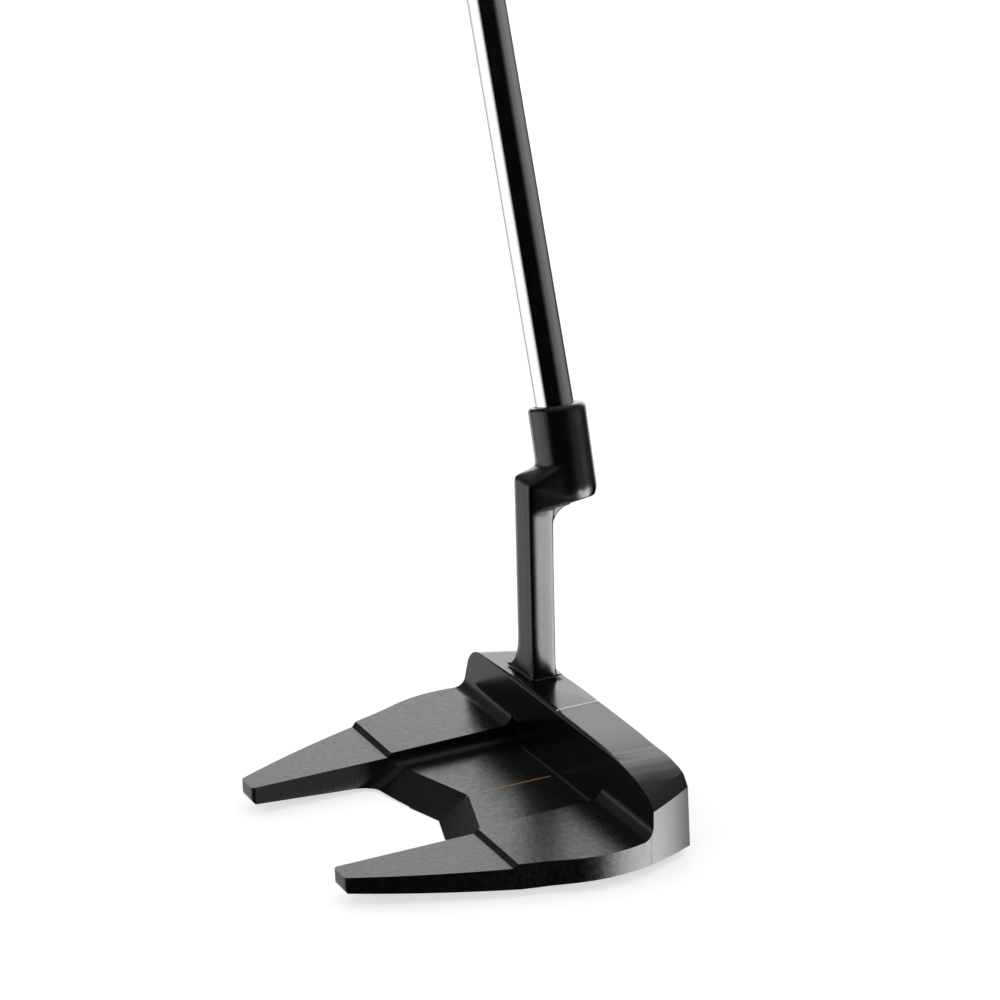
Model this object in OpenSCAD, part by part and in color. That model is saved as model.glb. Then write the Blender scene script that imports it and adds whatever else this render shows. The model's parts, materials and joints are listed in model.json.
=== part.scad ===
// Fang-style mallet putter: a cast head with a plumber's neck, a stepped steel shaft
// bonded into the hosel, and a flat-fronted rubber grip on a layer of tape.
// X runs to the toe, Y to the target, Z up. The origin is on the sole's flat pad,
// under the sight line.

/* [Head outline] */
// Distance of the leading edge in front of the origin
lead_y = 21.5; // [18:0.5:24]
// Distance from the sight line to the toe end of the face
toe_w = 42.6; // [40:0.1:46]
// Distance from the sight line to the heel end of the face
heel_w = 44.8; // [40:0.1:46]
// Width across the wing shoulders before they are rounded
shoulder_w = 101; // [98:0.2:110]
// Distance of the shoulders behind the leading edge
shoulder_back = 22.3; // [19:0.1:27]
// Plan radius of the wing shoulders
shoulder_r = 30; // [16:0.5:34]
// Depth from the leading edge to the ends of the fangs
head_depth = 78.5; // [72:0.1:90]
// Outer width across the wings where the fangs' bowed edges begin
wing_w = 89.8; // [84:0.2:94]
// Distance behind the leading edge at which the bowed edges begin
wing_back = 37; // [33:0.2:41]
// Outer width across the fang tips
tip_w = 57.6; // [54:0.2:70]
// Outward bow of each fang's outer edge
fang_bow = 0.95; // [0.4:0.05:1.5]
// Width of the gap between the fangs
gap_w = 45.6; // [40:0.2:48]
// Rounding of the fang tips' corners, seen from above
tip_r = 1; // [0.4:0.1:1.6]
// Rounding of the fang tips' lower edges
tip_under_r = 2; // [0.6:0.1:2.4]

/* [Blade] */
// Height of the topline above the sole
top_h = 20.9; // [18:0.1:26]
// Distance of the blade's rear wall behind the leading edge
wall_back = 12.2; // [11:0.1:14]
// Loft of the face in degrees
loft = 2.5; // [1:0.5:5]
// Rounding of the topline's rear edge
rear_edge_r = 1; // [0.5:0.1:1.5]
// Rounding of the topline's front edge
front_edge_r = 0.6; // [0.3:0.1:1]
// Rounding of the leading edge
lead_r = 1; // [0.5:0.1:1.5]

/* [Topline ends] */
// Distance from the sight line at which the topline starts to fall to the toe, at the face
crown_start = 26.5; // [20:0.5:32]
// Radius of that fall
crown_r = 70; // [50:1:100]
// Turn of that fall out of the target line, in degrees
crown_turn = 8; // [0:1:20]
// Drop of the toe's crease below the topline, at the face
toe_drop = 4.4; // [3.6:0.1:7]
// Fall of the toe's crease to the rear, in degrees
toe_fall = 7.5; // [2:0.5:10]
// Height of the toe's shoulder above its crease
toe_rise = 2.5; // [2.3:0.1:3.4]
// Slope above the toe's shoulder, in degrees
toe_slope = 14; // [8:1:20]
// Steepness below the toe's shoulder, in degrees
toe_steep = 55; // [50:1:70]
// Rounding of the toe's shoulder
toe_r = 6.6; // [2:0.1:7]
// Drop of the heel's crease below the topline, at the face
heel_drop = 5.7; // [4.6:0.1:7]
// Distance of the heel's crease inside the heel end of the face
heel_in = 2.4; // [1:0.1:4]
// Turn of the heel's crease out of the target line, in degrees
heel_turn = 17; // [8:1:24]
// Rise of the heel's crease to the rear, in degrees
heel_rise = 3; // [0:0.1:8]
// Height of the heel's shoulder above its crease
heel_shoulder = 4.2; // [3:0.1:4.4]
// Slope above the heel's shoulder, in degrees
heel_slope = 3; // [1:0.5:8]
// Steepness below the heel's shoulder, in degrees
heel_steep = 70; // [60:1:80]
// Rounding of the heel's shoulder
heel_r = 8; // [3:0.5:10]

/* [Wings] */
// Height of the wing plates at the blade
plate_h = 8.4; // [7.5:0.1:10]
// Height of the wing plates at the step
plate_end_h = 8; // [7.5:0.1:9]
// Distance of the step behind the leading edge
step_back = 43.4; // [39:0.2:49]
// Length of the step's slope
step_run = 1.1; // [0.6:0.1:2]
// Height of the fangs behind the step
fang_h = 7; // [6:0.1:7.4]
// Fillet between the plates and the blade
plate_fillet = 3; // [1:0.1:4]

/* [Cavity] */
// Height of the cavity floor
floor_h = 4.7; // [4:0.1:6]
// Distance of the floor's rear point behind the leading edge, at the sight line
notch_back = 34.8; // [31:0.2:37]
// Angle of each half of the notched rear edge
notch_angle = 17.2; // [10:0.2:22]
// Length of the ramp from the floor down to the sole, at the sight line
ramp_run = 7.6; // [5:0.2:10]
// Fillet between the cavity floor and the blade
floor_fillet = 0.8; // [0.4:0.1:1.5]
// Fillet between the cavity floor and the fangs
side_fillet = 2; // [0.6:0.1:3]
// Fillet between the ramp and the fangs
ramp_fillet = 3.4; // [1:0.1:4]

/* [Sole] */
// Width of the sole's flat pad
pad_w = 30; // [20:1:36]
// Radius of the sole's camber outside the pad
camber_r = 300; // [220:5:400]
// Distance behind the leading edge at which the underside starts to rise
relief_back = 43; // [42.4:0.2:47]
// Rise of the underside behind it, in degrees
relief = 4.2; // [3:0.1:5]

/* [Sight lines] */
// Width of both painted lines
line_w = 0.6; // [0.4:0.1:1.5]
// Distance between the cavity's line and the blade
line_end = 1.6; // [1:0.1:4]
// Depth of the grooves that hold the paint
line_t = 0.3; // [0.2:0.1:0.5]

/* [Neck] */
// Lie angle between the shaft and the ground
lie = 70.9; // [69:0.1:73]
// Distance of the shaft's axis in front of the leading edge
shaft_lead = 2.8; // [1:0.1:5]
// Where the shaft's axis meets the ground, towards the toe
shaft_foot = 1.8; // [-2:0.1:4]
// Heel-to-toe width of the riser
riser_w = 8.1; // [7:0.1:10]
// Front-to-back depth of the riser
riser_t = 6.5; // [5.5:0.1:7.5]
// Ledge left between the riser and the blade's rear wall
riser_set = 2.8; // [2:0.1:3.4]
// Rounding of the riser's upright edges
riser_r = 0.6; // [0.4:0.1:1.4]
// Radius of the riser's flare to the heel
flare_r = 10; // [8.6:0.2:14]
// Height of that flare above the topline
flare_h = 8.4; // [5:0.2:8.4]
// Fillet at the front of the riser's foot
foot_fillet = 1.6; // [1:0.1:2.4]
// Fillet at the riser's foot to the rear and the toe
tight_fillet = 0.6; // [0.3:0.1:1]
// Height of the crank's underside
crank_h = 62.7; // [55:0.1:70]
// Height of the crank's rear ledge above its underside
crank_t = 6.9; // [6:0.1:8]
// Rise of the ledge towards the hosel
ledge_rise = 1.9; // [0.5:0.1:2.5]
// Fillet under the crank
crank_fillet = 4.4; // [2:0.2:5]

/* [Hosel] */
// Outer diameter of the hosel
hosel_d = 13.4; // [12.8:0.1:15]
// Height of the hosel's rim above the crank's underside
hosel_h = 21.5; // [20:0.5:28]
// How much more upright than the shaft the hosel stands, in degrees
hosel_cant = 3.5; // [0:0.5:4]
// Rounding of the hosel's rim
rim_r = 1.2; // [0.5:0.1:1.6]
// Rounding of the hosel's lower end, under the crank
under_r = 2.6; // [1:0.1:3]
// Depth of the hosel's bore
bore_depth = 20; // [16:0.5:21]
// Thickness of the bond between the shaft and the bore
bond_t = 0.15; // [0.1:0.01:0.25]

/* [Shaft] */
// Length of the finished club along the shaft
club_len = 864; // [813:1:915]
// Diameter of the shaft at its tip
tip_d = 9.4; // [9:0.1:10]
// Diameter of the shaft under the grip
butt_d = 15.2; // [14.6:0.1:15.6]
// Wall of the shaft's tube
tube_t = 0.9; // [0.6:0.05:1.2]
// Length of plain tube above the tip
plain_len = 250; // [200:5:300]
// Number of steps in the tube's wall
steps = 12; // [8:1:16]
// Length of each step
step_len = 22; // [16:1:26]
// Length of the slope at each step
step_slope = 1; // [0.5:0.1:2]
// Length of the plug in the tip
plug_len = 12; // [8:1:20]

/* [Grip] */
// Length of the grip without its cap
grip_len = 262; // [240:1:280]
// Width of the grip at its mouth
mouth_w = 19.6; // [19:0.2:22]
// Width of the grip at its butt
grip_w = 27.4; // [25:0.2:32]
// Depth of the grip at its butt
grip_t = 30; // [27:0.2:34]
// Height of the flat front above the shaft's axis at the butt
flat_h = 11; // [10:0.2:13]
// Thickness of the tape under the grip
tape_t = 0.2; // [0.15:0.01:0.4]
// Thickness of the grip's cap
cap_t = 4; // [3:0.5:6]
// Length of the cap's spigot inside the shaft
spigot_len = 9; // [6:1:14]
// Diameter of the cap's vent hole
vent_d = 2; // [1.5:0.1:3]

/* [Hidden] */
$fn = 96;
LARGE_ARC = 720;
HULL_ARC = 32;
OVER = 1;
REACH = 120;

half_gap = gap_w / 2;
tip_y = lead_y - head_depth;
wall_y = lead_y - wall_back;
step_y = lead_y - step_back;
notch_y = lead_y - notch_back;
top_front_y = lead_y - top_h * tan(loft);
shoulder = [shoulder_w / 2, lead_y - shoulder_back];
wing_corner = [wing_w / 2, lead_y - wing_back];
tip_corner = [tip_w / 2, tip_y];
tip_edge = wing_corner - tip_corner;
tip_low = (head_depth - relief_back) * tan(relief);

axis_y = lead_y + shaft_lead;
crank_top = crank_h + crank_t;
riser_x = shaft_foot - (crank_h + crank_t / 2) / tan(lie);
riser_y = wall_y + riser_set + riser_t / 2;
bore_r = tip_d / 2 + bond_t;
rim_s = (crank_h + hosel_h) / sin(lie);
bore_s = rim_s - bore_depth;
butt_s = club_len - cap_t;
grip_s = butt_s - grip_len;
tape_r = butt_d / 2 + tape_t;
tube_end_r = butt_d / 2 - tube_t;

// ---- small helpers -------------------------------------------------------------

function unit(v) = v / norm(v);

// The web between two edges that leave the corner v along a and b, up to an arc of radius r:
// taken off an outer corner it rounds it, added to an inner corner it fillets it. It reaches
// past both edges, and its arc meets them a hair steeper than a tangent
module corner_web(v, a, b, r) {
    ua = unit(a);
    ub = unit(b);
    half = acos(ua * ub) / 2;
    reach = r / tan(half);
    centre = v + unit(ua + ub) * r / sin(half);
    root = 0.4;
    difference() {
        polygon([
            v - (ua + ub) * root, v + ua * reach - ub * root, v + ua * reach,
            centre, v + ub * reach, v + ub * reach - ua * root
        ]);
        translate(centre - unit(ua + ub) * r / 800) circle(r);
    }
}

// Carries an outline drawn in Y and Z along X
module along_x(width) {
    rotate([90, 0, 90]) linear_extrude(width, center = true) children();
}

// Carries an outline drawn in X and Z along Y
module along_y() {
    rotate([90, 0, 0]) linear_extrude(2 * REACH, center = true) children();
}

// Places children on the shaft's axis, s being the distance from the ground
module on_shaft(s) {
    translate([shaft_foot, axis_y, 0]) rotate([0, lie - 90, 0]) translate([0, 0, s]) children();
}

// ---- head ----------------------------------------------------------------------

// What bowing takes off outside one fang
module fang_cut() {
    chord = tip_corner - wing_corner;
    out = unit([-chord.y, chord.x]);
    bow_r = (pow(norm(chord) / 2, 2) + pow(fang_bow, 2)) / (2 * fang_bow);
    difference() {
        translate([tip_corner.x - 8, tip_y - 3 * OVER])
            square([wing_corner.x + OVER - tip_corner.x + 8, wing_corner.y - tip_y + 3 * OVER]);
        translate((wing_corner + tip_corner) / 2 - out * (bow_r - fang_bow))
            circle(bow_r, $fn = LARGE_ARC);
    }
}

// Outline of the head from above on one side, face_x being the end of the face
module half_plan(face_x) {
    face_end = [face_x, lead_y];
    difference() {
        polygon([
            [-OVER, lead_y + OVER], [face_x, lead_y + OVER], face_end, shoulder,
            wing_corner, [wing_corner.x, tip_y - 2 * OVER], [-OVER, tip_y - 2 * OVER]
        ]);
        corner_web(shoulder, face_end - shoulder, wing_corner - shoulder, shoulder_r);
        fang_cut();
        corner_web(tip_corner, tip_edge, [-1, 0], tip_r);
        corner_web([half_gap, tip_y], [0, 1], [1, 0], tip_r);
    }
}

module plan() {
    half_plan(toe_w);
    mirror([1, 0]) half_plan(heel_w);
}

// What an arc of radius r takes off a flat face from the origin on
module fall_away(r) {
    dip = 0.05;
    start = -sqrt(2 * r * dip);
    difference() {
        translate([start, -OVER]) square([head_depth, 7]);
        translate([start, r - dip]) circle(r, $fn = LARGE_ARC);
    }
}

// What comes off one end of the topline: all above a gentle slope and a steep end, which meet
// h above the origin and are rounded into each other
module end_cut(h, slope, steep, r) {
    corner = h * [-1 / tan(steep), 1];
    inner = corner + 40 * [-cos(slope), sin(slope)];
    outer = 30 * [cos(steep), -sin(steep)];
    difference() {
        translate([inner.x, outer.y]) square([REACH, REACH]);
        difference() {
            polygon([corner, outer, [inner.x - OVER, outer.y - OVER], [inner.x - OVER, inner.y], inner]);
            corner_web(corner, inner - corner, outer - corner, r);
        }
    }
}

module topline_ends() {
    translate([crown_start, lead_y, top_h]) rotate([0, 0, -crown_turn]) along_y()
        mirror([0, 1]) fall_away(crown_r);
    translate([toe_w, lead_y, top_h - toe_drop])
        rotate([toe_fall, 0, atan((shoulder.x - toe_w) / shoulder_back)]) along_y()
            end_cut(toe_rise, toe_slope, toe_steep, toe_r);
    mirror([1, 0, 0]) translate([heel_w - heel_in, lead_y, top_h - heel_drop])
        rotate([-heel_rise, 0, heel_turn]) along_y()
            end_cut(heel_shoulder, heel_slope, heel_steep, heel_r);
}

// The sole's camber on one side, and again under the fang where the underside rises
module sole_side() {
    along_y() translate([pad_w / 2, 0]) fall_away(camber_r);
    translate([0, lead_y - relief_back, 0]) rotate([-relief, 0, 0]) along_y()
        translate([pad_w / 2, 0]) fall_away(camber_r);
}

// Section through the blade: lofted face, topline and upright rear wall
module blade_section() {
    lead = [lead_y, 0];
    front = [top_front_y, top_h];
    rear = [wall_y, top_h];
    difference() {
        polygon([[wall_y, 0], lead, front, rear]);
        corner_web(lead, [-1, 0], front - lead, lead_r);
        corner_web(front, lead - front, rear - front, front_edge_r);
        corner_web(rear, front - rear, [0, -1], rear_edge_r);
    }
}

// Section along one wing: plate, slanted step, fang and rising underside
module wing_section() {
    difference() {
        polygon([
            [wall_y + 2 * OVER, 0], [wall_y + 2 * OVER, plate_h], [wall_y, plate_h],
            [step_y, plate_end_h], [step_y - step_run, fang_h],
            [tip_y, fang_h], [tip_y, tip_low], [lead_y - relief_back, 0]
        ]);
        corner_web([tip_y, tip_low], [0, 1], [head_depth - relief_back, -tip_low], tip_under_r);
    }
    corner_web([wall_y, plate_h], [0, 1], [step_y - wall_y, plate_end_h - plate_h],
                plate_fillet);
}

// The two wings with the gap between them
module wings() {
    difference() {
        along_x(REACH) wing_section();
        translate([-half_gap, tip_y - OVER, -OVER]) cube([gap_w, head_depth, REACH]);
    }
}

// Everything in front of one half of the notched rear edge and its ramp down to the sole,
// with the ramp's fillet to the fang
module half_notch() {
    run = ramp_run * cos(notch_angle);
    rise = atan(floor_h / ramp_run);
    up = 2;
    intersection() {
        union() {
            translate([0, notch_y, 0]) rotate([0, 0, -notch_angle]) along_x(4 * gap_w) polygon([
                [REACH, 0], [REACH, floor_h * up], [run * (up - 1), floor_h * up], [-run, 0]
            ]);
            translate([half_gap, notch_y - half_gap * tan(notch_angle) - ramp_run, 0])
                rotate([rise, 0, 0]) along_y()
                    corner_web([0, 0], [0, 1], [-1, -tan(notch_angle) * sin(rise)], ramp_fillet);
        }
        translate([-OVER, tip_y, -OVER])
            cube([half_gap + 3 * OVER, head_depth - wall_back + OVER, REACH]);
    }
}

// Floor between the wings, filleted to the fangs and the blade
module cavity_floor() {
    intersection() {
        union() {
            half_notch();
            mirror([1, 0, 0]) half_notch();
        }
        union() {
            along_y() {
                translate([-half_gap - OVER, 0]) square([gap_w + 2 * OVER, floor_h]);
                corner_web([half_gap, floor_h], [-1, 0], [0, 1], side_fillet);
                corner_web([-half_gap, floor_h], [1, 0], [0, 1], side_fillet);
            }
            along_x(gap_w + OVER) corner_web([wall_y, floor_h], [0, 1], [-1, 0], floor_fillet);
        }
    }
}

// Blade, wings and floor, all cut to the outline from above, the camber and the crown
module head_block() {
    difference() {
        intersection() {
            translate([0, 0, -OVER]) linear_extrude(top_h + 2 * OVER) plan();
            union() {
                along_x(REACH) blade_section();
                wings();
                cavity_floor();
            }
        }
        topline_ends();
        sole_side();
        mirror([1, 0, 0]) sole_side();
    }
}

module riser_plan(grow = 0) {
    w = riser_w - 2 * riser_r;
    t = riser_t - 2 * riser_r;
    r = riser_r + grow;
    square([w + 2 * r, t], center = true);
    square([w, t + 2 * r], center = true);
    for (x = [-w, w] / 2, y = [-t, t] / 2) translate([x, y]) circle(r);
}

// Outline of the riser and its flare, seen from the face
module flared_outline() {
    difference() {
        translate([-riser_w / 2 - flare_r, 0]) square([riser_w + flare_r, flare_h]);
        translate([-riser_w / 2 - flare_r, flare_h]) circle(flare_r);
    }
}

// The flare to the heel keeps the riser's rounded edges all along its arc; the fillets at its
// foot are cut to its outline and run out flush with the toe side
module foot() {
    bend_x = -riser_w / 2 - flare_r;
    intersection() {
        translate([bend_x, 0, flare_h]) rotate([90, 0, 0]) rotate_extrude() {
            translate([flare_r + riser_r, -riser_t / 2]) square([flare_r, riser_t]);
            translate([flare_r, riser_r - riser_t / 2]) square([flare_r, riser_t - 2 * riser_r]);
            for (y = [-1, 1] * (riser_t / 2 - riser_r)) translate([flare_r + riser_r, y])
                circle(riser_r);
        }
        translate([bend_x, -riser_t, -OVER]) cube([flare_r + OVER, 2 * riser_t, flare_h + OVER]);
    }
    intersection() {
        along_y() flared_outline();
        union() {
            translate([0, riser_t / 2, 0]) along_x(REACH)
                corner_web([0, 0], [0, 1], [1, 0], foot_fillet);
            translate([0, -riser_t / 2, 0]) along_x(REACH)
                corner_web([0, 0], [0, 1], [-1, 0], tight_fillet);
        }
    }
    translate([riser_w / 2, 0, 0]) rotate([90, 0, 0])
        linear_extrude(riser_t - 2 * riser_r, center = true)
            corner_web([0, 0], [0, 1], [1, 0], tight_fillet);
}

// Outer body of the hosel from z = low to z = high, rounded at both ends
module hosel_body(low, high) {
    r = hosel_d / 2;
    rotate_extrude() difference() {
        translate([0, low]) square([r, high - low]);
        corner_web([r, high], [-1, 0], [0, -1], rim_r);
        corner_web([r, low], [-1, 0], [0, 1], under_r);
    }
}

// Places children on the hosel's own axis, which crosses the shaft's at the crank's top
module on_hosel() {
    translate([shaft_foot - crank_top / tan(lie), axis_y, crank_top])
        rotate([0, lie - 90 + hosel_cant, 0]) children();
}

module neck() {
    translate([riser_x, riser_y, 0]) {
        translate([0, 0, top_h - OVER]) linear_extrude(crank_h - top_h + 2 * OVER) riser_plan();
        intersection() {
            translate([0, 0, top_h]) foot();
            translate([-REACH, -REACH, 0]) cube([2 * REACH, REACH + top_front_y - riser_y, REACH]);
        }
    }
    // Crank: flows from the riser's section into the round hosel
    hull() {
        translate([riser_x, riser_y, crank_h]) {
            linear_extrude(crank_t - riser_r) riser_plan($fn = HULL_ARC);
            linear_extrude(crank_t) riser_plan(-riser_r / 2, $fn = HULL_ARC);
        }
        on_hosel() translate([0, 0, -crank_t + 0.3])
            cylinder(r = hosel_d / 2 - 0.4, h = crank_t + ledge_rise - 0.3, $fn = HULL_ARC);
    }
    translate([riser_x, riser_y + riser_t / 2, crank_h]) along_x(riser_w - 2 * riser_r)
        corner_web([0, 0], [1, 0], [0, -1], crank_fillet);
    on_hosel() hosel_body(-crank_t, (hosel_h - crank_t) / sin(lie + hosel_cant));
}

module head() {
    color("#202022") difference() {
        union() {
            head_block();
            neck();
        }
        top_groove();
        cavity_groove();
        on_shaft(bore_s) cylinder(r = bore_r, h = bore_depth + hosel_d);
    }
}

// ---- paint fills ---------------------------------------------------------------

module top_groove() {
    translate([-line_w / 2, wall_y - OVER, top_h - line_t])
        cube([line_w, wall_back + 2 * OVER, line_t + OVER]);
}

module cavity_groove() {
    translate([-line_w / 2, notch_y - OVER, floor_h - line_t])
        cube([line_w, notch_back - wall_back - line_end + OVER, line_t + OVER]);
}

module top_sight_line() {
    color("#e6ecf2") intersection() {
        head_block();
        top_groove();
    }
}

module cavity_sight_line() {
    color("#b98a2e") intersection() {
        head_block();
        cavity_groove();
    }
}

// ---- shaft ---------------------------------------------------------------------

// Cup of cured adhesive between the bore and the shaft's tip
module shaft_bond() {
    color("#8a7f68") on_shaft(bore_s) difference() {
        cylinder(r = bore_r, h = bore_depth - rim_r);
        translate([0, 0, bond_t]) cylinder(r = tip_d / 2, h = bore_depth + OVER);
    }
}

// Plug that keeps the adhesive out of the tube
module shaft_plug() {
    color("#3a3a3c") on_shaft(bore_s + bond_t) cylinder(r = tip_d / 2 - tube_t, h = plug_len);
}

// Outer outline of the tube from the tip up, one short slope and one plain length a step
function shaft_outline(grow) = [
    for (i = [0:steps])
        let (r = tip_d / 2 + (butt_d - tip_d) / 2 * i / steps + grow,
             low = i == 0 ? bore_s + bond_t : bore_s + plain_len + (i - 1) * step_len + step_slope,
             high = i == steps ? butt_s : bore_s + plain_len + i * step_len)
        each [[r, low], [r, high]]
];

module shaft() {
    inner = shaft_outline(-tube_t);
    color("#d8dade") on_shaft(0) rotate_extrude()
        polygon(concat(shaft_outline(0), [for (i = [len(inner) - 1:-1:0]) inner[i]]));
}

// ---- grip ----------------------------------------------------------------------

// Section of the grip at a share k of its length from the mouth: round behind, flat in front
module grip_section(k) {
    w = mouth_w + (grip_w - mouth_w) * k;
    back = w / 2 + (grip_t - flat_h - grip_w / 2) * (k < 0.5 ? 0.5 * k : k * k);
    front = tape_r + 1.6 + (flat_h - tape_r - 1.6) * k;
    intersection() {
        union() {
            circle(w / 2, $fn = HULL_ARC * 2);
            translate([w / 2 - back, 0]) circle(w / 2, $fn = HULL_ARC * 2);
        }
        translate([-REACH, -REACH]) square([REACH + front, 2 * REACH]);
    }
}

module grip_tape() {
    color("#d9cfae") on_shaft(grip_s + OVER) difference() {
        cylinder(r = tape_r, h = grip_len - OVER);
        translate([0, 0, -OVER]) cylinder(r = butt_d / 2, h = grip_len + 2 * OVER);
    }
}

module grip() {
    stops = [0, 0.06, 0.3, 0.55, 0.78, 1];
    thin = 0.5;
    color("#1c1c1e") on_shaft(grip_s) difference() {
        for (i = [0:len(stops) - 2]) hull() {
            translate([0, 0, stops[i] * (grip_len - thin)]) linear_extrude(thin)
                grip_section(stops[i]);
            translate([0, 0, stops[i + 1] * (grip_len - thin)]) linear_extrude(thin)
                grip_section(stops[i + 1]);
        }
        translate([0, 0, -OVER]) cylinder(r = tape_r, h = grip_len + 2 * OVER);
    }
}

module grip_cap() {
    color("#151517") on_shaft(butt_s) difference() {
        union() {
            hull() {
                linear_extrude(cap_t / 2) grip_section(1);
                translate([-0.05, 0, 0]) linear_extrude(cap_t) scale(0.9) grip_section(1);
            }
            translate([0, 0, -spigot_len]) cylinder(r = tube_end_r, h = spigot_len + OVER);
        }
        translate([0, 0, -spigot_len - OVER]) cylinder(d = vent_d, h = spigot_len + cap_t + 2 * OVER);
    }
}

head();
top_sight_line();
cavity_sight_line();
shaft_bond();
shaft_plug();
shaft();
grip_tape();
grip();
grip_cap();
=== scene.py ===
import json
import math

import bmesh
import bpy
from mathutils import Matrix, Vector
from mathutils.kdtree import KDTree

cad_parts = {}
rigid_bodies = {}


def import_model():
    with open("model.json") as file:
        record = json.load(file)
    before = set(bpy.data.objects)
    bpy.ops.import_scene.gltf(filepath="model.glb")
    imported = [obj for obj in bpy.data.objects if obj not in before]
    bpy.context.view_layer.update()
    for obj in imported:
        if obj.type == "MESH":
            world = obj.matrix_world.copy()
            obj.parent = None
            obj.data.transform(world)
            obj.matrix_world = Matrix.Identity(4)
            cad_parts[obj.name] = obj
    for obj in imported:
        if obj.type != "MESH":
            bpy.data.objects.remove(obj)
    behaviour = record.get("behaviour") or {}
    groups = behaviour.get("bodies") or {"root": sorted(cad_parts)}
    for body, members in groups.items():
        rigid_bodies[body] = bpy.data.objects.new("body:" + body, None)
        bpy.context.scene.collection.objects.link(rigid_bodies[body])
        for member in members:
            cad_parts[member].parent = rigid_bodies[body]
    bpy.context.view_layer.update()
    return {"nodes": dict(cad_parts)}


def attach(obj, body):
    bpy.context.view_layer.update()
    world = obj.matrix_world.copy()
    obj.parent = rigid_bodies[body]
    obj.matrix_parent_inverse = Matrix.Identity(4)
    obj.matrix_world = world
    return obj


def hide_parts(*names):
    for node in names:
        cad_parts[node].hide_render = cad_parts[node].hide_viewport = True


for spare in list(bpy.data.objects):
    bpy.data.objects.remove(spare, do_unlink=True)
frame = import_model()
nodes = frame["nodes"]
scene = bpy.context.scene
scene.view_settings.view_transform = "Standard"

# ---- head ------------------------------------------------------------------------
# One steel casting with its blade, plates, fangs and bent neck. The blade and its ends are milled and
# polished, the rest is left as cast and blasted, and the whole of it is coated black in one go.
# It keeps the form of its CAD solid, and gets the broken edges and soft neck of a real casting.

# The whole casting: how its mesh is merged and cut, which turns are broken edges, and the half width
# of the two sight lines' grooves
merge_reach, cut_reach = 2e-6, 1e-6
same_flat, sharp_turn = math.radians(0.4), math.radians(24)
edge_break, break_steps = 0.00026, 2
line_half_width = 0.00035

# The neck: where its rubbing starts above the topline, how deep its faces may start under that,
# and the box and the grid in which they are cut
neck_from, neck_full, neck_edges_from = 0.02093, 0.0217, 0.02103
foot_depth = 0.003
neck_low, neck_high = Vector((-0.034, 0.011, neck_from)), Vector((-0.012, 0.032, 0.087))
neck_grid = 0.0006
rub_spread, rub_reach, turned_away = 0.0007, 0.00175, -0.2
shaft_foot, shaft_lie = Vector((0.0018, 0.0243, 0)), math.radians(70.9)
shaft_way = Vector((-math.cos(shaft_lie), 0, math.sin(shaft_lie)))
bore_lip, bore_clear = 0.00525, 0.00605
rim_from, rim_full = 0.0838, 0.0853

# The toe's front flat, and the crown that runs out to it
toe_flat_back, toe_flat_front = Vector((0.04731, 0.00821, 0)), Vector((0.04263, 0.02142, 0))
toe_roll, toe_cuts, toe_depth = 0.0009, 9, 0.005
crown_from, crown_to, crown_low, crown_level = 0.002, 0.040, 0.0150, 0.9
crown_roll, crown_cuts, crown_looks = 0.013, 38, 24


def off_shaft(point):
    """How far a point is along the shaft's axis, and how far out from it."""
    along = (point - shaft_foot).dot(shaft_way)
    return along, (point - shaft_foot - shaft_way * along).length


def fade(value, start, end):
    """From 0 at the start to 1 at the end, level at both."""
    share = min(max((value - start) / (end - start), 0), 1)
    return share * share * (3 - 2 * share)


def cut_across(casting, faces, place, way):
    """Cuts those faces where the plane through that place, square to that way, meets them."""
    edges = dict.fromkeys(e for f in faces for e in f.edges)
    verts = dict.fromkeys(v for f in faces for v in f.verts)
    if faces:
        bmesh.ops.bisect_plane(casting, geom=[*faces, *edges, *verts], dist=cut_reach,
                               plane_co=place, plane_no=way)


def slice_neck(casting):
    """Cuts the neck's flats into small squares, so that they can be rubbed round."""
    for axis in (2, 0, 1):
        way = Vector([float(i == axis) for i in range(3)])
        at = neck_low[axis] + neck_grid / 2
        while at < neck_high[axis]:
            met = [f for f in casting.faces if min(v.co.z for v in f.verts) > neck_from - foot_depth
                   and f.calc_center_median().z > neck_from
                   and min(v.co[axis] for v in f.verts) < at < max(v.co[axis] for v in f.verts)]
            cut_across(casting, met, way * at, way)
            at += neck_grid


def rub_neck(casting):
    """Evens each point of the neck with the surface round it, and leaves the bore and its rim alone."""
    casting.verts.index_update()
    casting.verts.ensure_lookup_table()
    casting.normal_update()
    around = KDTree(len(casting.verts))
    for v in casting.verts:
        around.insert(v.co, v.index)
    around.balance()
    # The surface that each point stands for: its share of its faces, at most one square of the grid
    held = [min(sum(f.calc_area() for f in v.link_faces) / 4, neck_grid ** 2) for v in casting.verts]
    moved = {}
    for v in casting.verts:
        along, out = off_shaft(v.co)
        share = fade(v.co.z, neck_from, neck_full) * fade(out, bore_lip, bore_clear)
        share *= 1 - fade(along, rim_from, rim_full)
        if share == 0:
            continue
        mean, total = Vector(), 0
        for place, index, away in around.find_range(v.co, rub_reach):
            if casting.verts[index].normal.dot(v.normal) > turned_away:
                weight = held[index] * math.exp(-(away / rub_spread) ** 2 / 2)
                mean, total = mean + place * weight, total + weight
        moved[v] = v.co.lerp(mean / total, share)
    for v, place in moved.items():
        v.co = place


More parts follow.
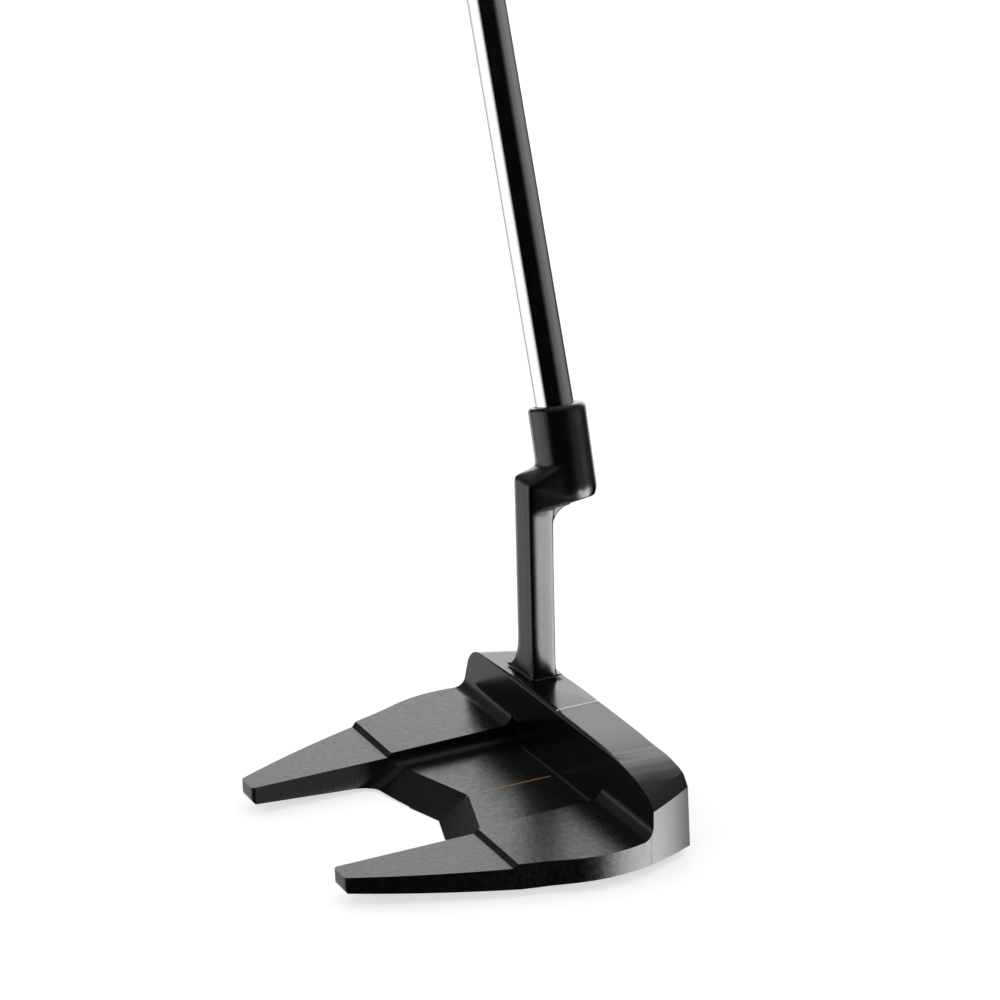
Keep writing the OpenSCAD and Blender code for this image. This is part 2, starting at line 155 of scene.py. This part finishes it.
def roll_toe(casting):
    """Rolls the flat at the toe's front end in towards the face, as the polishing wheel does."""
    run = toe_flat_front - toe_flat_back
    forward = run.normalized()
    outward = Vector((forward.y, -forward.x, 0))
    for i in range(toe_cuts):
        near = [f for f in casting.faces if f.calc_center_median().y > 0
                and (f.calc_center_median() - toe_flat_back).dot(outward) > -toe_depth]
        cut_across(casting, near, toe_flat_back + run * i / toe_cuts, forward)
    for v in casting.verts:
        share = max((v.co - toe_flat_back).dot(forward) / run.length, 0) ** 2
        depth = (v.co - toe_flat_back).dot(outward)
        v.co -= outward * toe_roll * share * fade(depth, -toe_depth, 0)


def crown_top(casting):
    """The faces on top of the blade, from its sight line to the toe."""
    return [f for f in casting.faces if f.normal.z > crown_level and f.calc_center_median().z > crown_low
            and f.calc_center_median().x > 2 * line_half_width]


def ease_crown(casting):
    """Rolls the level topline gently into its fall to the toe, so that the light fades along it."""
    along = Vector((1, 0, 0))
    for i in range(crown_cuts):
        at = crown_from + (crown_to - crown_from) * i / crown_cuts
        cut_across(casting, crown_top(casting), along * at, along)
    top = dict.fromkeys(v for f in crown_top(casting) for v in f.verts)
    fall = sorted((v.co.x, v.co.z) for v in top)

    def height(x):
        after = next((i for i, point in enumerate(fall) if point[0] > x), len(fall) - 1)
        (x0, z0), (x1, z1) = fall[max(after - 1, 0)], fall[after]
        return z0 + (z1 - z0) * min(max((x - x0) / max(x1 - x0, cut_reach), 0), 1)

    eased = {}
    for v in top:
        half = min(crown_roll, crown_to - v.co.x, v.co.x - 2 * line_half_width)
        if half > 0:
            looks = [half * k / crown_looks for k in range(-crown_looks, crown_looks + 1)]
            eased[v] = sum(height(v.co.x + aside) for aside in looks) / len(looks)
    for v, z in eased.items():
        v.co.z = z


def is_sharp(edge):
    """Whether the surface turns enough there for its edge to be broken."""
    return len(edge.link_faces) == 2 and edge.calc_face_angle(0) > sharp_turn


def on_neck(edge):
    """Whether the edge is above the topline, where it is rubbed instead."""
    return max(v.co.z for v in edge.verts) > neck_edges_from


def on_sight_line(edge):
    """Whether the edge is one of a sight line's groove, which stays crisp."""
    return max(abs(v.co.x) for v in edge.verts) < line_half_width


casting = bmesh.new()
casting.from_mesh(nodes["head"].data)
bmesh.ops.remove_doubles(casting, verts=casting.verts, dist=merge_reach)
bmesh.ops.dissolve_limit(casting, angle_limit=same_flat, verts=casting.verts, edges=casting.edges)
slice_neck(casting)
rub_neck(casting)
roll_toe(casting)
ease_crown(casting)
bmesh.ops.recalc_face_normals(casting, faces=casting.faces)
to_break = [e for e in casting.edges if is_sharp(e) and not on_neck(e) and not on_sight_line(e)]
bmesh.ops.bevel(casting, geom=to_break, offset=edge_break, offset_type="OFFSET", segments=break_steps,
                profile=0.5, affect="EDGES", clamp_overlap=True)
for face in casting.faces:
    face.smooth = True
for edge in casting.edges:
    edge.smooth = not (is_sharp(edge) and on_sight_line(edge))
head_mesh = bpy.data.meshes.new("head_casting")
casting.to_mesh(head_mesh)
casting.free()
head = bpy.data.objects.new("head_casting", head_mesh)
scene.collection.objects.link(head)
even_shade = head.modifiers.new("flat faces shade flat", "WEIGHTED_NORMAL")
even_shade.mode = "FACE_AREA"
even_shade.keep_sharp = True


def add_node(tree, kind, settings=(), **inputs):
    """A shader node with its settings made, and its inputs filled or joined by name or as _number."""
    node = tree.nodes.new(kind)
    for name, value in dict(settings).items():
        setattr(node, name, value)
    for name, value in inputs.items():
        socket = node.inputs[int(name[1:])] if name[0] == "_" else node.inputs[name.replace("_", " ")]
        if isinstance(value, bpy.types.NodeSocket):
            tree.links.new(value, socket)
        else:
            socket.default_value = value
    return node


def make_group(name, inputs, outputs):
    """An empty shader group with those sockets, and its two end nodes."""
    group = bpy.data.node_groups.new(name, "ShaderNodeTree")
    for label, kind, value in inputs:
        socket = group.interface.new_socket(label, in_out="INPUT", socket_type=kind)
        if value is not None:
            socket.default_value = value
    for label in outputs:
        group.interface.new_socket(label, in_out="OUTPUT", socket_type="NodeSocketFloat")
    return group, group.nodes.new("NodeGroupInput"), group.nodes.new("NodeGroupOutput")


def make_grain_group():
    """Grain: the small even pebbling of a blasted, moulded or brushed surface, with a finer tooth on it."""
    tooth_scale, tooth_share = 3.1, 0.3
    group, given, out = make_group("grain", (
        ("Vector", "NodeSocketVector", None), ("Grains per metre", "NodeSocketFloat", 1000.0),
        ("Least roughness", "NodeSocketFloat", 0.2), ("Most roughness", "NodeSocketFloat", 0.3)),
        ("Height", "Roughness"))
    pebbles = add_node(group, "ShaderNodeTexNoise", Vector=given.outputs["Vector"],
                       Scale=given.outputs["Grains per metre"], Detail=2.0, Roughness=0.5)
    finer = add_node(group, "ShaderNodeMath", {"operation": "MULTIPLY"},
                     _0=given.outputs["Grains per metre"], _1=tooth_scale)
    tooth = add_node(group, "ShaderNodeTexNoise", Vector=given.outputs["Vector"], Scale=finer.outputs[0],
                     Detail=2.0, Roughness=0.6)
    height = add_node(group, "ShaderNodeMath", {"operation": "MULTIPLY_ADD"}, _0=tooth.outputs["Fac"],
                      _1=tooth_share, _2=pebbles.outputs["Fac"])
    spread = add_node(group, "ShaderNodeMapRange", Value=pebbles.outputs["Fac"], From_Min=0.3, From_Max=0.7,
                      To_Min=given.outputs["Least roughness"], To_Max=given.outputs["Most roughness"])
    group.links.new(height.outputs[0], out.inputs["Height"])
    group.links.new(spread.outputs["Result"], out.inputs["Roughness"])
    return group


def make_handling_group():
    """Handling: slow cloudy patches where hands and cloths have dulled the shine a little."""
    group, given, out = make_group("handling", (
        ("Vector", "NodeSocketVector", None), ("Patches per metre", "NodeSocketFloat", 60.0),
        ("Roughness", "NodeSocketFloat", 0.2), ("Dulling", "NodeSocketFloat", 0.05)), ("Roughness",))
    cloud = add_node(group, "ShaderNodeTexNoise", Vector=given.outputs["Vector"],
                     Scale=given.outputs["Patches per metre"], Detail=3.0, Roughness=0.55)
    patch = add_node(group, "ShaderNodeMapRange", {"interpolation_type": "SMOOTHSTEP"},
                     Value=cloud.outputs["Fac"], From_Min=0.42, From_Max=0.68)
    dulled = add_node(group, "ShaderNodeMath", {"operation": "MULTIPLY_ADD"}, _0=patch.outputs["Result"],
                      _1=given.outputs["Dulling"], _2=given.outputs["Roughness"])
    group.links.new(dulled.outputs[0], out.inputs["Roughness"])
    return group


grain_group = make_grain_group()
handling_group = make_handling_group()


def start_finish(name, **sockets):
    """A new material with its Principled shader set, and the object's own coordinates."""
    finish = bpy.data.materials.new(name)
    finish.use_nodes = True
    tree = finish.node_tree
    tree.nodes.clear()
    shader = add_node(tree, "ShaderNodeBsdfPrincipled", **sockets)
    add_node(tree, "ShaderNodeOutputMaterial", Surface=shader.outputs["BSDF"])
    return finish, tree, shader, tree.nodes.new("ShaderNodeTexCoord").outputs["Object"]


def add_grain(tree, coords, per_metre, least, most):
    """The grain group in a material: its height, and its roughness from least to most."""
    node = add_node(tree, "ShaderNodeGroup", {"node_tree": grain_group}, Vector=coords,
                    Grains_per_metre=per_metre, Least_roughness=least, Most_roughness=most)
    return node.outputs["Height"], node.outputs["Roughness"]


def add_handling(tree, coords, per_metre, roughness, dulling):
    """The handling group in a material: the roughness with its dulled patches."""
    node = add_node(tree, "ShaderNodeGroup", {"node_tree": handling_group}, Vector=coords,
                    Patches_per_metre=per_metre, Roughness=roughness, Dulling=dulling)
    return node.outputs["Roughness"]


def raise_height(tree, shader, height, depth):
    """Turns a height into relief, where a height of 1 stands for that depth."""
    relief = add_node(tree, "ShaderNodeBump", Height=height, Strength=1.0, Distance=depth)
    tree.links.new(relief.outputs["Normal"], shader.inputs["Normal"])


# The black coat: full grain behind the blade's rear wall, and a little on the polished blade and up
# the neck, which is satin all the same
coat_black = (0.0013, 0.0012, 0.0014, 1)
wall_at, cast_at = 0.0090, 0.0081
satin_from, satin_full = 0.024, 0.030
cast_grains, cast_depth, cast_least, cast_most = 700.0, 0.000034, 0.25, 0.32
shine_patches, shine_rough, shine_dulling = 55.0, 0.2, 0.04
polished_share, neck_share, satin_gain = 0.05, 0.04, 10.0

head_black, tree, shader, coords = start_finish("head black", Base_Color=coat_black, IOR=1.6)
place = add_node(tree, "ShaderNodeSeparateXYZ", Vector=coords)
behind_wall = add_node(tree, "ShaderNodeMapRange", {"interpolation_type": "SMOOTHSTEP"},
                       Value=place.outputs["Y"], From_Min=wall_at, From_Max=cast_at,
                       To_Min=polished_share, To_Max=1.0)
up_neck = add_node(tree, "ShaderNodeMapRange", {"interpolation_type": "SMOOTHSTEP"},
                   Value=place.outputs["Z"], From_Min=satin_from, From_Max=satin_full, To_Max=neck_share)
as_cast = add_node(tree, "ShaderNodeMath", {"operation": "MAXIMUM"}, _0=behind_wall.outputs["Result"],
                   _1=up_neck.outputs["Result"])
height, cast_rough = add_grain(tree, coords, per_metre=cast_grains, least=cast_least, most=cast_most)
shine = add_handling(tree, coords, per_metre=shine_patches, roughness=shine_rough, dulling=shine_dulling)
cast_height = add_node(tree, "ShaderNodeMath", {"operation": "MULTIPLY"}, _0=height, _1=as_cast.outputs[0])
satin = add_node(tree, "ShaderNodeMath", {"operation": "MULTIPLY_ADD", "use_clamp": True},
                 _0=up_neck.outputs["Result"], _1=satin_gain, _2=as_cast.outputs[0])
roughness = add_node(tree, "ShaderNodeMix", {"data_type": "FLOAT"}, Factor=satin.outputs[0],
                     A=shine, B=cast_rough)
tree.links.new(roughness.outputs["Result"], shader.inputs["Roughness"])
raise_height(tree, shader, cast_height.outputs[0], cast_depth)
head.data.materials.append(head_black)
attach(head, "root")
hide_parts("head")

# ---- sight lines --------------------------------------------------------------------
# Two shallow straight grooves for aiming, one over the blade's top and one along the cavity floor.
# Each is filled with enamel, brushed in, baked and wiped level with the metal. Its colour darkens
# towards the groove's sides as painted shade from the groove's walls.

# Each enamel's own colour in the middle, and the painted shade of the groove's walls at its sides
white_core, white_groove_shade = (0.52, 0.60, 0.66, 1), (0.16, 0.18, 0.20, 1)
gold_core, gold_groove_shade = (0.33, 0.17, 0.022, 1), (0.05, 0.022, 0.004, 1)
core_half, groove_half = 0.00008, 0.00025
enamel_grains, enamel_depth, enamel_least, enamel_most = 2600.0, 0.00001, 0.3, 0.42


def tint_between(tree, shader, mask, low, high, low_at=0.0, high_at=1.0):
    """Colours the shader from low to high as the mask grows."""
    tint = add_node(tree, "ShaderNodeValToRGB", Fac=mask)
    for stop, position, colour in zip(tint.color_ramp.elements, (low_at, high_at), (low, high)):
        stop.position, stop.color = position, colour
    tree.links.new(tint.outputs["Color"], shader.inputs["Base Color"])


def start_grained(name, per_metre, least, most, **sockets):
    """A new material whose roughness follows its grain, and that grain's height."""
    finish, tree, shader, coords = start_finish(name, **sockets)
    height, rough = add_grain(tree, coords, per_metre, least, most)
    tree.links.new(rough, shader.inputs["Roughness"])
    return finish, tree, shader, coords, height


def coat(node_name, finish):
    """Gives a CAD node its finish, on the slot that it has."""
    slots = nodes[node_name].data.materials
    slots.clear()
    slots.append(finish)


for node_name, finish_name, core, edge in (("top_sight_line", "white enamel", white_core, white_groove_shade),
                                           ("cavity_sight_line", "gold enamel", gold_core, gold_groove_shade)):
    enamel, tree, shader, coords, height = start_grained(
        finish_name, per_metre=enamel_grains, least=enamel_least, most=enamel_most, IOR=1.5)
    place = add_node(tree, "ShaderNodeSeparateXYZ", Vector=coords)
    aside = add_node(tree, "ShaderNodeMath", {"operation": "ABSOLUTE"}, _0=place.outputs["X"])
    # Painted shade: the colour darkens from the middle of the line out to the groove's walls
    into_groove_shade = add_node(tree, "ShaderNodeMapRange", {"interpolation_type": "SMOOTHSTEP"},
                       Value=aside.outputs[0], From_Min=core_half, From_Max=groove_half)
    tint_between(tree, shader, into_groove_shade.outputs["Result"], core, edge)
    raise_height(tree, shader, height, enamel_depth)
    coat(node_name, enamel)

# ---- shaft bond -----------------------------------------------------------------------
# The thin sleeve of cured epoxy that holds the shaft in the neck's bore. It is a clear amber resin,
# a little cloudy from the glass beads stirred into it, and none of it shows.

amber_dark, amber_pale = (0.30, 0.20, 0.08, 1), (0.52, 0.42, 0.22, 1)
bead_clouds = 350.0

adhesive, tree, shader, coords, height = start_grained(
    "adhesive", per_metre=1500.0, least=0.28, most=0.5, IOR=1.55)
cloud = add_node(tree, "ShaderNodeTexNoise", Vector=coords, Scale=bead_clouds, Detail=2.0)
tint_between(tree, shader, cloud.outputs["Fac"], amber_dark, amber_pale)
raise_height(tree, shader, height, depth=0.00003)
coat("shaft_bond", adhesive)

# ---- shaft plug -----------------------------------------------------------------------
# A short black rubber plug pushed up the shaft's lower end, so that no epoxy runs up the tube.
# It is moulded, with a dusting of talc, and none of it shows.

plug_black, talc_grey = (0.02, 0.02, 0.021, 1), (0.09, 0.09, 0.09, 1)
talc_specks, talc_from, talc_full = 700.0, 0.5, 0.75

plug_rubber, tree, shader, coords, height = start_grained(
    "plug", per_metre=1800.0, least=0.6, most=0.82, IOR=1.5)
talc = add_node(tree, "ShaderNodeTexNoise", Vector=coords, Scale=talc_specks, Detail=4.0)
tint_between(tree, shader, talc.outputs["Fac"], plug_black, talc_grey, low_at=talc_from, high_at=talc_full)
raise_height(tree, shader, height, depth=0.00004)
coat("shaft_plug", plug_rubber)

# ---- shaft ------------------------------------------------------------------------------
# A drawn steel tube with its rings of steps above a long plain tip, polished and chrome plated.
# It is pressed into the neck's bore on the epoxy, and carries the grip.

chrome_white = (0.87, 0.875, 0.885, 1)
polish_patches, polish_rough, polish_dulling = 120.0, 0.045, 0.03
lap_lines, lap_stretch, lap_depth = 900.0, 0.05, 0.0000015

chrome, tree, shader, coords = start_finish("shaft chrome", Base_Color=chrome_white, Metallic=1.0)
drawn = add_node(tree, "ShaderNodeMapping", Vector=coords, Rotation=(0, math.pi / 2 - shaft_lie, 0),
                 Scale=(1, 1, lap_stretch)).outputs["Vector"]
polish = add_handling(tree, drawn, per_metre=polish_patches, roughness=polish_rough,
                      dulling=polish_dulling)
tree.links.new(polish, shader.inputs["Roughness"])
lap = add_node(tree, "ShaderNodeTexNoise", Vector=drawn, Scale=lap_lines, Detail=2.0)
raise_height(tree, shader, lap.outputs["Fac"], lap_depth)
coat("shaft", chrome)

# ---- grip tape ---------------------------------------------------------------------------
# Two-sided creped paper tape, wrapped round the butt of the shaft under the grip. It is buff, with
# fine crepe ridges across its length, and the grip slides on over it with solvent.

# The buff, painted darker in the crepe's valleys as shade and paler on its crests as light
buff_valley_shade, buff_crest_light = (0.44, 0.36, 0.22, 1), (0.60, 0.52, 0.35, 1)
crepe_ridges, crepe_waver, crepe_share, crepe_depth = 260.0, 3.0, 0.8, 0.00005

crepe, tree, shader, coords, height = start_grained(
    "tape", per_metre=900.0, least=0.78, most=0.95, IOR=1.45)
ridges = add_node(tree, "ShaderNodeTexWave", {"bands_direction": "Z"}, Vector=coords, Scale=crepe_ridges,
                  Distortion=crepe_waver, Detail=2.0)
crepe_height = add_node(tree, "ShaderNodeMath", {"operation": "MULTIPLY_ADD"}, _0=ridges.outputs["Fac"],
                        _1=crepe_share, _2=height)
# Painted shade and light: the tint follows the ridges, dark in their valleys and pale on their crests
tint_between(tree, shader, ridges.outputs["Fac"], buff_valley_shade, buff_crest_light)
raise_height(tree, shader, crepe_height.outputs[0], crepe_depth)
coat("grip_tape", crepe)

# ---- grip and cap --------------------------------------------------------------------------
# The grip is one moulding of soft black rubber with a flat front for the thumbs, covered in small
# shallow dimples. The cap is a harder moulding of the same black, with a spigot pressed into the tube.

grip_black = (0.016, 0.016, 0.017, 1)
dimples_per_metre, dimple_depth, dimple_scatter, dimple_blend = 420.0, 0.00022, 0.25, 0.4
dimple_floor, dimple_rim, skin_share = 0.12, 0.42, 0.12

rubber, tree, shader, coords, height = start_grained(
    "grip rubber", per_metre=1600.0, least=0.52, most=0.66, Base_Color=grip_black, IOR=1.5)
dimples = add_node(tree, "ShaderNodeTexVoronoi", {"feature": "SMOOTH_F1"}, Vector=coords,
                   Scale=dimples_per_metre, Randomness=dimple_scatter, Smoothness=dimple_blend)
hollow = add_node(tree, "ShaderNodeMapRange", {"interpolation_type": "SMOOTHSTEP"},
                  Value=dimples.outputs["Distance"], From_Min=dimple_floor, From_Max=dimple_rim)
rubber_height = add_node(tree, "ShaderNodeMath", {"operation": "MULTIPLY_ADD"}, _0=height, _1=skin_share,
                         _2=hollow.outputs["Result"])
raise_height(tree, shader, rubber_height.outputs[0], dimple_depth)
coat("grip", rubber)

cap_rubber, tree, shader, coords, height = start_grained(
    "cap rubber", per_metre=1900.0, least=0.4, most=0.52, Base_Color=grip_black, IOR=1.5)
raise_height(tree, shader, height, depth=0.00003)
coat("grip_cap", cap_rubber)

# ---- floor ------------------------------------------------------------------------------
# A plain white sweep that runs on into the white backdrop and keeps the club's shadow. The club
# mirrors only its shaded strip between the fangs, which is laid on it and seen in nothing else.

floor_half, floor_drop = 4.0, 0.0002
floor_glow, floor_paint = 0.62, 0.46
strip_half, strip_back, strip_front, strip_drop = 0.02, -0.056, -0.012, 0.0001

white_sweep = bpy.data.materials.new("white sweep")
white_sweep.use_nodes = True
tree = white_sweep.node_tree
tree.nodes.clear()
paint = add_node(tree, "ShaderNodeBsdfDiffuse", Color=(floor_paint, floor_paint, floor_paint, 1))
glow = add_node(tree, "ShaderNodeEmission", Strength=floor_glow)
lit = add_node(tree, "ShaderNodeAddShader", _0=paint.outputs[0], _1=glow.outputs[0])
seen = tree.nodes.new("ShaderNodeLightPath")
choice = add_node(tree, "ShaderNodeMixShader", _0=seen.outputs["Is Camera Ray"], _1=paint.outputs[0],
                  _2=lit.outputs[0])
add_node(tree, "ShaderNodeOutputMaterial", Surface=choice.outputs[0])


def lay_sweep(name, half_width, back, front, drop):
    """A flat piece of the sweep, that far below the club's sole."""
    corners = ((-half_width, back), (half_width, back), (half_width, front), (-half_width, front))
    mesh = bpy.data.meshes.new(name)
    mesh.from_pydata([(x, y, -drop) for x, y in corners], [], [(0, 1, 2, 3)])
    mesh.materials.append(white_sweep)
    sweep = bpy.data.objects.new(name, mesh)
    scene.collection.objects.link(sweep)
    return sweep


floor = lay_sweep("floor", floor_half, -floor_half, floor_half, floor_drop)
floor.visible_glossy = False
floor_in_shade = lay_sweep("floor_in_shade", strip_half, strip_back, strip_front, strip_drop)
floor_in_shade.visible_camera = False
floor_in_shade.visible_diffuse = False
floor_in_shade.visible_shadow = False

# ---- studio -----------------------------------------------------------------------------
# Even white light for every painted colour. The chrome and the black coat mirror the studio round
# the club: white backdrop behind, tall softbox to the left, low softbox to the right, dark in front.


def toward(azimuth, height):
    """The direction at that bearing from +X and that height above the horizon, in degrees."""
    a, h = math.radians(azimuth), math.radians(height)
    return Vector((math.cos(a) * math.cos(h), math.sin(a) * math.cos(h), math.sin(h)))


dark_level, plain_level = 0.001, 1.0
mirrored = (  # direction, degrees from it within which it is full and past which it is gone, strength
    (toward(141, 11), 17, 39, 2.15),    # backdrop
    (toward(180, -24), 8, 22, 1.0),     # its foot, behind the heel
    (toward(195, 10), 10, 40, 0.15),    # its shaded left edge
    (toward(251, -5), 18, 42, 1.15),    # tall softbox
    (toward(207, -23), 10, 28, 0.42),   # white floor under it
    (toward(54, -28), 3, 28, 8.0),      # low softbox
    (toward(25, -16), 5, 12, 8.6),      # its near corner
    (toward(55, 8), 33, 48, 0.085),     # right-hand wall
    (toward(90, 45), 20, 60, 0.18),     # right-hand ceiling
    (toward(0, 90), 20, 60, 0.2),       # ceiling
    (toward(0, -90), 25, 52, 0.5),      # floor below the club
)
world = bpy.data.worlds.new("studio")
scene.world = world
world.use_nodes = True
tree = world.node_tree
tree.nodes.clear()
sky = tree.nodes.new("ShaderNodeTexCoord").outputs["Generated"]
strength = dark_level
for middle, full, gone, power in mirrored:
    closeness = add_node(tree, "ShaderNodeVectorMath", {"operation": "DOT_PRODUCT"}, _0=sky, _1=middle)
    panel = add_node(tree, "ShaderNodeMapRange", {"interpolation_type": "SMOOTHSTEP"},
                     Value=closeness.outputs["Value"], From_Min=math.cos(math.radians(gone)),
                     From_Max=math.cos(math.radians(full)), To_Max=power)
    strength = add_node(tree, "ShaderNodeMath", {"operation": "ADD"}, _0=strength,
                        _1=panel.outputs["Result"]).outputs[0]
even = add_node(tree, "ShaderNodeBackground", Color=(1, 1, 1, 1), Strength=plain_level)
room = add_node(tree, "ShaderNodeBackground", Color=(1, 1, 1, 1), Strength=strength)
seen = tree.nodes.new("ShaderNodeLightPath")
mirror = add_node(tree, "ShaderNodeMixShader", _0=seen.outputs["Is Glossy Ray"], _1=even.outputs[0],
                  _2=room.outputs[0])
add_node(tree, "ShaderNodeOutputWorld", Surface=mirror.outputs[0])

# ---- camera -----------------------------------------------------------------------------
# A long lens, not quite a metre from the head, that looks down on the toe and the back of the club.

camera_place = (0.71307, -0.34875, 0.37887)
view_side, view_down, view_roll = math.radians(64.16), math.radians(21.0), math.radians(-1.43)
focal_length, sensor_width = 137.65, 36
nearest, farthest = 0.05, 20

away = Vector((-math.sin(view_side), math.cos(view_side), 0))
right = Vector((math.cos(view_side), math.sin(view_side), 0))
up = Vector((0, 0, 1))
forward = away * math.cos(view_down) - up * math.sin(view_down)
below = -(away * math.sin(view_down) + up * math.cos(view_down))
x_axis = right * math.cos(view_roll) - below * math.sin(view_roll)
y_axis = -(right * math.sin(view_roll) + below * math.cos(view_roll))
lens = bpy.data.cameras.new("camera")
lens.lens, lens.sensor_width = focal_length, sensor_width
lens.clip_start, lens.clip_end = nearest, farthest
camera = bpy.data.objects.new("camera", lens)
scene.collection.objects.link(camera)
turn = Matrix((x_axis, y_axis, -forward)).transposed().to_4x4()
camera.matrix_world = Matrix.Translation(camera_place) @ turn
scene.camera = camera
